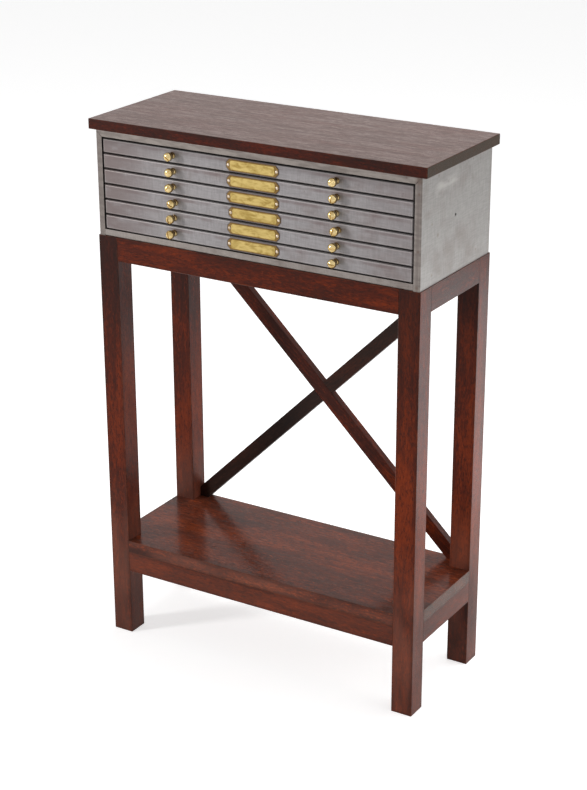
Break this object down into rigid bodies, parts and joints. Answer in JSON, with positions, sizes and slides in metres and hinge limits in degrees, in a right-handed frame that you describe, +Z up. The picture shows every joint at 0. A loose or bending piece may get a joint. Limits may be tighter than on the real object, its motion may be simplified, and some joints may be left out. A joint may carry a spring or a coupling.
{
  "type": "type case cabinet",
  "caption": "Small cabinet of shallow steel drawers with turned brass knobs and blank label plates, under a wooden board, on an open stained wooden stand with a low shelf and a cross brace",
  "frame": {"origin": "On the floor, under the middle of the whole cabinet's footprint, knobs and top board included; the stand's own middle lies 7.8 mm behind it", "axes": "+X to the right as seen from the front, +Y to the back (the drawers open towards -Y), +Z up"},
  "size_m": [0.629, 0.264, 0.9443],
  "materials": {
    "leg_wood": "dark red-brown stain, worn satin varnish",
    "rail_wood": "dark red-brown stain, worn satin varnish",
    "brace_wood": "dark red-brown stain, worn satin varnish",
    "shelf_wood": "dark red-brown stain, glossy varnish",
    "board_wood": "dark stain, dulled satin varnish",
    "case_steel": "bare sheet steel, rubbed satin, faint brown stains",
    "drawer_steel": "bare sheet steel, rubbed satin, brown smudges at the edges",
    "tray_steel": "bare sheet steel, dull",
    "runner_steel": "bare sheet steel, dull",
    "plate_brass": "rubbed brass with a dark tarnished rim",
    "knob_brass": "polished turned brass"
  },
  "bodies": {
    "cabinet": {"front_left_leg": "leg_wood", "front_right_leg": "leg_wood", "back_left_leg": "leg_wood", "back_right_leg": "leg_wood", "front_upper_rail": "rail_wood", "back_upper_rail": "rail_wood", "front_lower_rail": "rail_wood", "back_lower_rail": "rail_wood", "left_upper_rail": "rail_wood", "right_upper_rail": "rail_wood", "left_lower_rail": "rail_wood", "right_lower_rail": "rail_wood", "brace_rising": "brace_wood", "brace_falling": "brace_wood", "shelf_board": "shelf_wood", "top_board": "board_wood", "case_shell": "case_steel", "case_bottom": "case_steel", "case_back": "case_steel", "left_runner_panel": "runner_steel", "right_runner_panel": "runner_steel"},
    "drawer_1": {"drawer_1_tray": "tray_steel", "drawer_1_front": "drawer_steel", "drawer_1_label_plate": "plate_brass", "drawer_1_knobs": "knob_brass"},
    "drawer_2": {"drawer_2_tray": "tray_steel", "drawer_2_front": "drawer_steel", "drawer_2_label_plate": "plate_brass", "drawer_2_knobs": "knob_brass"},
    "drawer_3": {"drawer_3_tray": "tray_steel", "drawer_3_front": "drawer_steel", "drawer_3_label_plate": "plate_brass", "drawer_3_knobs": "knob_brass"},
    "drawer_4": {"drawer_4_tray": "tray_steel", "drawer_4_front": "drawer_steel", "drawer_4_label_plate": "plate_brass", "drawer_4_knobs": "knob_brass"},
    "drawer_5": {"drawer_5_tray": "tray_steel", "drawer_5_front": "drawer_steel", "drawer_5_label_plate": "plate_brass", "drawer_5_knobs": "knob_brass"},
    "drawer_6": {"drawer_6_tray": "tray_steel", "drawer_6_front": "drawer_steel", "drawer_6_label_plate": "plate_brass", "drawer_6_knobs": "knob_brass"}
  },
  "joints": [
    {"name": "drawer_1_slide", "type": "slide", "parent": "cabinet", "child": "drawer_1", "axis": [0, -1, 0], "range_m": [0, 0.165]},
    {"name": "drawer_2_slide", "type": "slide", "parent": "cabinet", "child": "drawer_2", "axis": [0, -1, 0], "range_m": [0, 0.165]},
    {"name": "drawer_3_slide", "type": "slide", "parent": "cabinet", "child": "drawer_3", "axis": [0, -1, 0], "range_m": [0, 0.165]},
    {"name": "drawer_4_slide", "type": "slide", "parent": "cabinet", "child": "drawer_4", "axis": [0, -1, 0], "range_m": [0, 0.165]},
    {"name": "drawer_5_slide", "type": "slide", "parent": "cabinet", "child": "drawer_5", "axis": [0, -1, 0], "range_m": [0, 0.165]},
    {"name": "drawer_6_slide", "type": "slide", "parent": "cabinet", "child": "drawer_6", "axis": [0, -1, 0], "range_m": [0, 0.165]}
  ]
}
